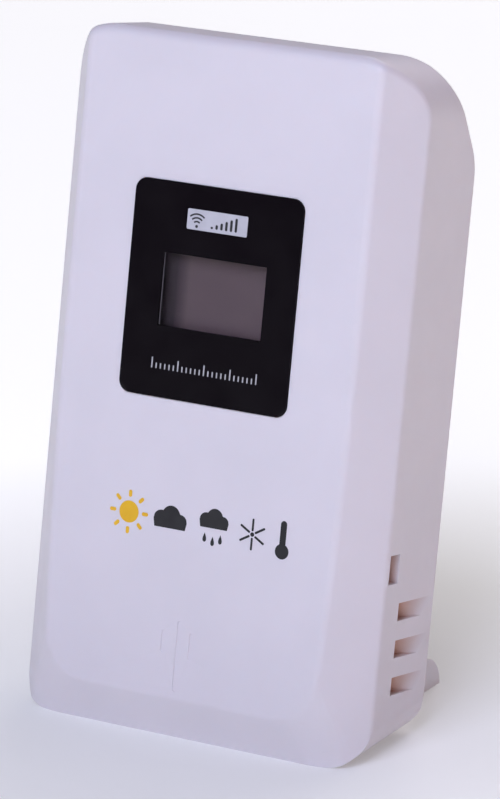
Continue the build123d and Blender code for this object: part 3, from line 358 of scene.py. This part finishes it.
NODE_LOOK = {
    "front_shell": "case", "rear_cover": "cover", "battery_door": "cover", "stand": "stand",
    "label_plate": "label", "label_adhesive": "adhesive", "window_lens": "pane",
    "lcd_polariser": "polariser", "lcd_cell": "glass", "lcd_reflector": "reflector",
    "lcd_holder": "holder",
    "zebra_connector": "rubber", "circuit_board": "board", "radio_board": "board",
    "controller_chip": "resin", "chip_components": "resin", "temperature_sensor": "resin",
    "timing_crystal": "tin", "radio_resonator": "tin", "sensor_leads": "tin",
    "filter_capacitor": "sleeve", "antenna_coil": "copper",
    "battery_lower": "cell_lower", "battery_upper": "cell_upper",
    "battery_springs": "nickel", "battery_link_plate": "nickel",
    "positive_terminal": "nickel", "negative_terminal": "nickel",
    "channel_switch_body": "black", "transmit_switch": "black", "unit_switch": "black",
    "channel_switch_knob": "grey", "transmit_button": "grey", "unit_button": "grey",
    "transmit_plunger": "black", "unit_plunger": "black",
    "case_screws": "zinc", "board_screws": "zinc",
}
# softened edge width of each larger moulding, mm
SOFT_EDGES = {
    "front_shell": 0.2, "rear_cover": 0.18, "battery_door": 0.18, "stand": 0.2,
    "label_plate": 0.06,
    "channel_switch_knob": 0.08, "case_screws": 0.05,
}
SMOOTH_ANGLE = math.radians(28)
WELD_GAP = 0.002
FACE_WEIGHT = 60
for name, look in NODE_LOOK.items():
    node = NODES[name]
    node.data.materials.clear()
    node.data.materials.append(LOOKS[look])
    node.data.shade_smooth()
    node.data.set_sharp_from_angle(angle=SMOOTH_ANGLE)
    if name in SOFT_EDGES:
        weld = node.modifiers.new("weld", "WELD")
        weld.merge_threshold = WELD_GAP * MM
        soft = node.modifiers.new("soft_edges", "BEVEL")
        soft.width = SOFT_EDGES[name] * MM
        soft.segments = 3
        soft.limit_method = "ANGLE"
        soft.angle_limit = SMOOTH_ANGLE
        soft.use_clamp_overlap = True
        level = node.modifiers.new("level_faces", "WEIGHTED_NORMAL")
        level.weight = FACE_WEIGHT
        level.keep_sharp = False


# ---- printed and raised marks ----
def disc(x, z, radius, steps=36):
    """A round spot."""
    turn = 2 * math.pi / steps
    turns = [i * turn for i in range(steps)]
    return [(x + radius * math.cos(a), z + radius * math.sin(a)) for a in turns]


def band(x, z, inner, outer, start, end, steps=20):
    """Part of a ring, from one angle to another in degrees."""
    angles = [math.radians(start + (end - start) * i / steps) for i in range(steps + 1)]
    outside = [(x + outer * math.cos(a), z + outer * math.sin(a)) for a in angles]
    inside = [(x + inner * math.cos(a), z + inner * math.sin(a)) for a in reversed(angles)]
    return outside + inside


def stroke(x, z, width, height, tilt=0.0, steps=6):
    """An upright bar with rounded ends, tilted by an angle in degrees."""
    r = min(width, height) / 2
    points = []
    for cx, cz, start in ((1, 1, 0), (-1, 1, 90), (-1, -1, 180), (1, -1, 270)):
        for i in range(steps + 1):
            a = math.radians(start + 90 * i / steps)
            px = cx * (width / 2 - r) + r * math.cos(a)
            pz = cz * (height / 2 - r) + r * math.sin(a)
            points.append((px, pz))
    c, s = math.cos(math.radians(tilt)), math.sin(math.radians(tilt))
    return [(x + px * c - pz * s, z + px * s + pz * c) for px, pz in points]


def plate(x, z, width, height, radius, steps=6):
    """A rectangle with rounded corners."""
    points = []
    for cx, cz, start in ((1, 1, 0), (-1, 1, 90), (-1, -1, 180), (1, -1, 270)):
        for i in range(steps + 1):
            a = math.radians(start + 90 * i / steps)
            px = x + cx * (width / 2 - radius) + radius * math.cos(a)
            pz = z + cz * (height / 2 - radius) + radius * math.sin(a)
            points.append((px, pz))
    return points


# a cloud's three round bumps (X, height and radius) and its base, as shares of its width
CLOUD_BUMPS = ((-0.27, 0.16, 0.23), (0.02, 0.27, 0.27), (0.3, 0.14, 0.2))
CLOUD_SHOULDER, CLOUD_BASE_HALF, CLOUD_BASE_DROP = 0.08, 0.46, 0.06
DROP_WIDTH, DROP_TAPER = 0.62, 1.5
BULB_SHARE, STEM_SHARE = 0.2, 0.09


def cloud(x, z, width, steps=48):
    """A flat-bottomed cloud of three bumps."""
    top = []
    for i in range(steps + 1):
        px = -0.5 + i / steps
        over = [(px - bx, bz, r) for bx, bz, r in CLOUD_BUMPS if abs(px - bx) <= r]
        heights = [bz + math.sqrt(max(r * r - dx ** 2, 0)) for dx, bz, r in over]
        top.append((x + px * width, z + max(heights + [CLOUD_SHOULDER]) * width))
    half, low = CLOUD_BASE_HALF * width, z - CLOUD_BASE_DROP * width
    return top + [(x + half, low), (x - half, low)]


def drop(x, z, height, steps=28):
    """A raindrop, its point upwards."""
    points = []
    for i in range(steps):
        a = 2 * math.pi * i / steps
        taper = math.sin(a / 2) ** DROP_TAPER
        px = x + DROP_WIDTH * height / 2 * math.sin(a) * taper
        points.append((px, z + height / 2 * math.cos(a)))
    return points


def thermometer(x, z, height, steps=24):
    """A thermometer: a round bulb and an upright stem with a round end."""
    bulb, half = height * BULB_SHARE, height * STEM_SHARE
    low, high = z - height / 2 + bulb, z + height / 2 - half
    gap = math.asin(half / bulb)
    angles = [math.pi / 2 + gap + (2 * math.pi - 2 * gap) * i / steps for i in range(steps + 1)]
    points = [(x + bulb * math.cos(a), low + bulb * math.sin(a)) for a in angles]
    caps = [math.pi * i / 8 for i in range(9)]
    return points + [(x + half * math.cos(a), high + half * math.sin(a)) for a in caps]


def marks(name, loops, look, body, plane, thick):
    """Flat marks made solid: plane turns a 2-D point and a height, in mm, into a scene point."""
    mesh = bpy.data.meshes.new(name)
    form = bmesh.new()
    for loop in loops:
        area = sum(p[0] * q[1] - q[0] * p[1] for p, q in zip(loop, loop[1:] + loop[:1]))
        ring = loop if area > 0 else loop[::-1]
        top = [form.verts.new(plane(px, pz, thick)) for px, pz in ring]
        low = [form.verts.new(plane(px, pz, -thick)) for px, pz in ring]
        form.faces.new(top)
        form.faces.new(low[::-1])
        for i in range(len(ring)):
            j = (i + 1) % len(ring)
            form.faces.new((top[i], low[i], low[j], top[j]))
    bmesh.ops.triangulate(form, faces=[f for f in form.faces if len(f.verts) > 4])
    bmesh.ops.recalc_face_normals(form, faces=form.faces)
    form.to_mesh(mesh)
    form.free()
    piece = bpy.data.objects.new(name, mesh)
    bpy.context.scene.collection.objects.link(piece)
    mesh.materials.append(look)
    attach(piece, body)
    return piece


def on_front(depth):
    """The plane of the front at a depth in mm; its marks stand out towards the viewer."""
    return lambda x, z, lift: at(x, depth - lift, z)


def on_back(depth):
    """The plane of a surface facing backwards; x counts to the right as seen from behind."""
    return lambda x, z, lift: at(-x, depth + lift, z)


INK = 0.012                     # thickness of a printed mark, mm
LABEL_FACE = -0.25
PANEL_FACE = 0.0
PALE_INK = moulded("pale_ink", (0.56, 0.55, 0.60), (0.50, 0.49, 0.54), (0.45, 0.6), 0.3, 0.05, 3)
WHITE_INK = moulded("white_ink", (0.50, 0.49, 0.52), (0.42, 0.41, 0.44), (0.45, 0.6), 0.3, 0.05, 2)
BLACK_INK = moulded("black_ink", (0.012, 0.011, 0.013), (0.02, 0.019, 0.021), (0.4, 0.55), 0.3, 0.05, 2)
AMBER_INK = moulded("amber_ink", (0.86, 0.50, 0.015), (0.80, 0.44, 0.012), (0.4, 0.55), 0.3, 0.05, 3)

# a pale field with radio waves and rising bars, near the top of the label
FIELD_X, FIELD_Z, FIELD_W, FIELD_H, FIELD_R = 0.05, 81.7, 10.7, 3.2, 0.25
WAVE_X, WAVE_Z = FIELD_X - 3.6, FIELD_Z - 1.05
WAVE_RADII, WAVE_WIDTH, WAVE_SPAN, WAVE_DOT = (0.62, 1.2, 1.78), 0.26, (48, 132), 0.24
BARS, BAR_X, BAR_Z, BAR_STEP, BAR_WIDTH, BAR_RISE = 6, FIELD_X - 0.9, FIELD_Z - 1.1, 0.85, 0.42, 0.36
field = plate(FIELD_X, FIELD_Z, FIELD_W, FIELD_H, FIELD_R)
marks("label_field", [field], PALE_INK, "case", on_front(LABEL_FACE), INK)
waves = [disc(WAVE_X, WAVE_Z, WAVE_DOT)]
waves += [band(WAVE_X, WAVE_Z, r, r + WAVE_WIDTH, *WAVE_SPAN) for r in WAVE_RADII]
for i in range(BARS):
    tall = BAR_RISE * (i + 1)
    waves.append(stroke(BAR_X + BAR_STEP * i, BAR_Z + tall / 2, BAR_WIDTH, tall))
marks("label_waves", waves, BLACK_INK, "case", on_front(LABEL_FACE - INK), INK)

# a graduated line of ticks under the window
TICK_LOW, TICK_FROM, TICK_STEP, TICKS = 57.8, -9.3, 0.775, 25
TICK_WIDTH, TICK_LONG, TICK_SHORT, LONG_EVERY = 0.22, 1.7, 0.9, 6
ticks = []
for i in range(TICKS):
    tall = TICK_SHORT if i % LONG_EVERY else TICK_LONG
    ticks.append(stroke(TICK_FROM + TICK_STEP * i, TICK_LOW + tall / 2, TICK_WIDTH, tall, 0, 3))
marks("label_ticks", ticks, WHITE_INK, "case", on_front(LABEL_FACE), INK)

# weather signs on the lower panel
SIGN_Z = 34.7
SUN_X, SUN_R, RAYS, RAY_WIDTH, RAY_LENGTH = -11.2, 1.75, 8, 0.6, 1.15
sun = [disc(SUN_X, SIGN_Z, SUN_R)]
for i in range(RAYS):
    turn = 360 / RAYS * i
    a = math.radians(turn)
    reach = SUN_R + RAY_LENGTH
    place = (SUN_X + reach * math.cos(a), SIGN_Z + reach * math.sin(a))
    sun.append(stroke(*place, RAY_WIDTH, RAY_LENGTH, turn - 90))
marks("sun_sign", sun, AMBER_INK, "case", on_front(PANEL_FACE), INK)
CLOUD_X, CLOUD_DROP, CLOUD_W = -3.7, 1.1, 6.0
RAIN_X, RAIN_RISE, RAIN_W = 4.1, 0.1, 5.2
DROPS, DROPS_BELOW, DROP_HEIGHT = ((-1.45, 0), (0, 0.45), (1.35, 0)), 1.75, 1.5
signs = [cloud(CLOUD_X, SIGN_Z - CLOUD_DROP, CLOUD_W), cloud(RAIN_X, SIGN_Z + RAIN_RISE, RAIN_W)]
signs += [drop(RAIN_X + dx, SIGN_Z - DROPS_BELOW - dz, DROP_HEIGHT) for dx, dz in DROPS]
FLAKE_X, FLAKE_R, FLAKE_HUB, FLAKE_GAP, FLAKE_WIDTH, ARMS = 11.0, 2.5, 0.35, 0.5, 0.36, 6
signs.append(disc(FLAKE_X, SIGN_Z, FLAKE_HUB))
for i in range(ARMS):
    turn = 360 / ARMS * i
    a = math.radians(turn + 30)
    mid = (FLAKE_R + FLAKE_GAP) / 2
    place = (FLAKE_X + mid * math.cos(a), SIGN_Z + mid * math.sin(a))
    signs.append(stroke(*place, FLAKE_WIDTH, FLAKE_R - FLAKE_GAP, turn - 60))
THERMOMETER_X, THERMOMETER_H = 16.4, 6.0
signs.append(thermometer(THERMOMETER_X, SIGN_Z, THERMOMETER_H))
marks("weather_signs", signs, BLACK_INK, "case", on_front(PANEL_FACE), INK)

# a painted highlight: a thin grey strip along the window's left edge in the label, where the cut edge
# catches the light
EDGE_X, EDGE_Z, EDGE_W, EDGE_H, EDGE_DEPTH = -8.93, 70.28, 0.14, 11.3, 0.25
EDGE_HIGHLIGHT_GREY = moulded(
    "window_highlight_grey", (0.16, 0.14, 0.155), (0.12, 0.105, 0.115), (0.3, 0.4), 0.2, 0.05, 2)
highlight_strip = [stroke(EDGE_X, EDGE_Z, EDGE_W, EDGE_H, 0, 3)]
marks("window_highlight", highlight_strip, EDGE_HIGHLIGHT_GREY, "case", on_front(EDGE_DEPTH), INK)

# signs by the controls in the well: channel numbers, waves and a thermometer
WELL_FLOOR = 11.8
DIGITS = {
    "1": ((0, 0, 0.16, 1.3, 0), (-0.14, 0.48, 0.16, 0.42, -38)),
    "2": ((0, 0.57, 0.62, 0.16, 0), (0.25, 0.3, 0.16, 0.66, 0), (0, 0, 0.62, 0.16, 0),
          (-0.25, -0.3, 0.16, 0.66, 0), (0, -0.57, 0.62, 0.16, 0)),
    "3": ((0, 0.57, 0.62, 0.16, 0), (0.25, 0, 0.16, 1.3, 0), (0.04, 0, 0.5, 0.16, 0),
          (0, -0.57, 0.62, 0.16, 0)),
}
SIGN_ROW = 75.9
DIGIT_X = {"1": 5.6, "2": 7.6, "3": 9.6}
for digit, x in DIGIT_X.items():
    lines = DIGITS[digit]
    strokes = [stroke(x + dx, SIGN_ROW + dz, w, h, tilt, 3) for dx, dz, w, h, tilt in lines]
    marks("channel_number_" + digit, strokes, BLACK_INK, "case", on_back(WELL_FLOOR), INK)
SEND_X, SEND_Z, SEND_RADII, SEND_WIDTH, SEND_DOT = -2.5, SIGN_ROW - 0.55, (0.55, 1.05), 0.18, 0.2
UNIT_X, UNIT_H = -8.5, 1.7
controls = [disc(SEND_X, SEND_Z, SEND_DOT, 20)]
controls += [band(SEND_X, SEND_Z, r, r + SEND_WIDTH, 45, 135) for r in SEND_RADII]
controls.append(thermometer(UNIT_X, SIGN_ROW, UNIT_H))
marks("control_signs", controls, BLACK_INK, "case", on_back(WELL_FLOOR), INK)

# which way round the cells go, on the seat beside the well
SEAT_FACE = 23.0
CELL_SIGN_X, CELL_SIGN_Z = 18.6, 73.6
CELL_HALF, CELL_TALL, CELL_LINE = 3.4, 2.0, 0.18
NUB_OUT, NUB_W, NUB_H = 0.35, 0.5, 0.9
POLE_X, POLE_SIZE = 2.3, 1.0


def cell_sign(x, z, plus_side):
    """A cell's outline with its raised end, and its plus and minus signs."""
    half, tall, line = CELL_HALF, CELL_TALL, CELL_LINE
    loops = [stroke(x, z + side * tall / 2, 2 * half, line, 0, 3) for side in (1, -1)]
    loops += [stroke(x + side * half, z, line, tall, 0, 3) for side in (-1, 1)]
    loops.append(stroke(x + plus_side * (half + NUB_OUT), z, NUB_W, NUB_H, 0, 3))
    plus_x, minus_x = x + plus_side * POLE_X, x - plus_side * POLE_X
    loops.append(stroke(plus_x, z, POLE_SIZE, line, 0, 3))
    loops.append(stroke(plus_x, z, line, POLE_SIZE, 0, 3))
    loops.append(stroke(minus_x, z, POLE_SIZE, line, 0, 3))
    return loops


MARK_GREY = moulded(
    "mark_grey", (0.30, 0.29, 0.31), (0.25, 0.24, 0.26), (0.45, 0.6), 0.3, 0.05, 3)
for name, side in (("cell_sign_upper", 1), ("cell_sign_lower", -1)):
    sign = cell_sign(side * CELL_SIGN_X, CELL_SIGN_Z, side)
    marks(name, sign, MARK_GREY, "case", on_back(SEAT_FACE), INK)

# a raised arrow on the door, pointing the way it is pulled
DOOR_FACE = 25.0
ARROW_Z, ARROW_HALF, ARROW_TALL, ARROW_LIFT, ARROW_SOFT = 66.6, 2.6, 2.4, 0.16, 0.08
arrow = [(-ARROW_HALF, ARROW_Z + ARROW_TALL), (0, ARROW_Z), (ARROW_HALF, ARROW_Z + ARROW_TALL)]
raised = marks("door_arrow", [arrow], LOOKS["cover"], "door", on_back(DOOR_FACE), ARROW_LIFT)
soft = raised.modifiers.new("soft_edges", "BEVEL")
soft.width = ARROW_SOFT * MM
soft.segments = 3


# ---- stage, light and camera ----
def area_light(name, azimuth, elevation, distance, size, power, colour):
    """A square soft light aimed at the object's middle; azimuth 0 is in front, 90 on the right."""
    data = bpy.data.lights.new(name, "AREA")
    data.size = size
    data.energy = power
    data.color = colour
    light = bpy.data.objects.new(name, data)
    bpy.context.scene.collection.objects.link(light)
    a, e = math.radians(azimuth), math.radians(elevation)
    aim = (CAD_BOX[0] + CAD_BOX[1]) / 2
    away = Vector((math.sin(a) * math.cos(e), -math.cos(a) * math.cos(e), math.sin(e)))
    light.location = aim + away * distance
    light.rotation_mode = "QUATERNION"
    light.rotation_quaternion = away.to_track_quat("Z", "Y")
    return light


FLOOR_REACH = 6.0
FLOOR_LIGHT, FLOOR_DARK = (0.7, 0.7, 0.707), (0.686, 0.686, 0.693)
FLOOR_PATCH = 300.0
FLOOR_ROUGH = 0.7
FLOOR_GLOW = 0.58
# the floor's glow close to the object, a painted contact shadow
FLOOR_GLOW_IN_PAINTED_SHADOW = 0.17
FLOOR_SHADOW_FADE = (0.03, 0.13)       # distances from the object over which the painted contact shadow fades and the floor brightens, m


def make_floor():
    """A wide plain floor, level with the lowest point of the object, which glows, dimmer near the
    object as a painted contact shadow.
    """
    mesh = bpy.data.meshes.new("floor")
    z = CAD_BOX[0].z
    corners = [(x * FLOOR_REACH, y * FLOOR_REACH, z) for x, y in ((-1, -1), (1, -1), (1, 1), (-1, 1))]
    mesh.from_pydata(corners, [], [(0, 1, 2, 3)])
    floor = bpy.data.objects.new("floor", mesh)
    bpy.context.scene.collection.objects.link(floor)
    material, tree, bsdf = shader("pale_floor")
    tone = remap(tree, noise(tree, FLOOR_PATCH, 2.0), 0.0, 1.0)
    tree.links.new(mix(tree, tone, FLOOR_LIGHT, FLOOR_DARK), bsdf.inputs["Base Color"])
    bsdf.inputs["Roughness"].default_value = FLOOR_ROUGH
    bsdf.inputs["Emission Color"].default_value = (1, 1, 1, 1)
    coords = tree.nodes.new("ShaderNodeTexCoord")
    away = tree.nodes.new("ShaderNodeVectorMath")
    away.operation = "LENGTH"
    tree.links.new(coords.outputs["Object"], away.inputs[0])
    # painted contact shadow: the floor's glow is dimmer close to the object
    glow = remap(tree, away.outputs["Value"], FLOOR_GLOW_IN_PAINTED_SHADOW, FLOOR_GLOW, *FLOOR_SHADOW_FADE)
    tree.links.new(glow, bsdf.inputs["Emission Strength"])
    mesh.materials.append(material)


WORLD_COLOUR = (0.95, 0.96, 1.0, 1)
WORLD_STRENGTH = 0.02
# name, azimuth, elevation, distance and size in m, power in W, colour
LIGHTS = (
    ("front_key", 26, 20, 1.2, 0.5, 1.81, (0.90, 0.935, 1)),
    ("high_key", 5, 48, 1.2, 0.7, 10.2, (0.726, 0.765, 1)),
    ("side_warm", 95, 25, 1.3, 0.7, 1, (1, 0.3, 0.25)),
    ("left_fill", -80, 25, 1.3, 0.7, 0.7, (1, 1, 1)),
    ("back_soft", 180, 40, 1.6, 1.2, 9.8, (1, 0.95, 0.97)),
)
make_floor()
for light in LIGHTS:
    area_light(*light)
world = bpy.data.worlds.new("studio")
world.use_nodes = True
sky = world.node_tree.nodes["Background"]
sky.inputs["Color"].default_value = WORLD_COLOUR
sky.inputs["Strength"].default_value = WORLD_STRENGTH
bpy.context.scene.world = world
bpy.context.scene.view_settings.view_transform = "Standard"

CAMERA_AZIMUTH = 29.95
CAMERA_ELEVATION = 17.36
CAMERA_PLACE = Vector((0.35119, -0.60799, 0.26969))
CAMERA_LENS = 211.05
SENSOR_WIDTH = 36
CLIP = (0.01, 50)
camera_data = bpy.data.cameras.new("camera")
camera_data.lens = CAMERA_LENS
camera_data.sensor_width = SENSOR_WIDTH
camera_data.clip_start, camera_data.clip_end = CLIP
camera = bpy.data.objects.new("camera", camera_data)
bpy.context.scene.collection.objects.link(camera)
azimuth, elevation = math.radians(CAMERA_AZIMUTH), math.radians(CAMERA_ELEVATION)
toward_camera = Vector((
    math.sin(azimuth) * math.cos(elevation),
    -math.cos(azimuth) * math.cos(elevation),
    math.sin(elevation),
))
camera.location = CAMERA_PLACE
camera.rotation_mode = "QUATERNION"
camera.rotation_quaternion = toward_camera.to_track_quat("Z", "Y")
bpy.context.scene.camera = camera
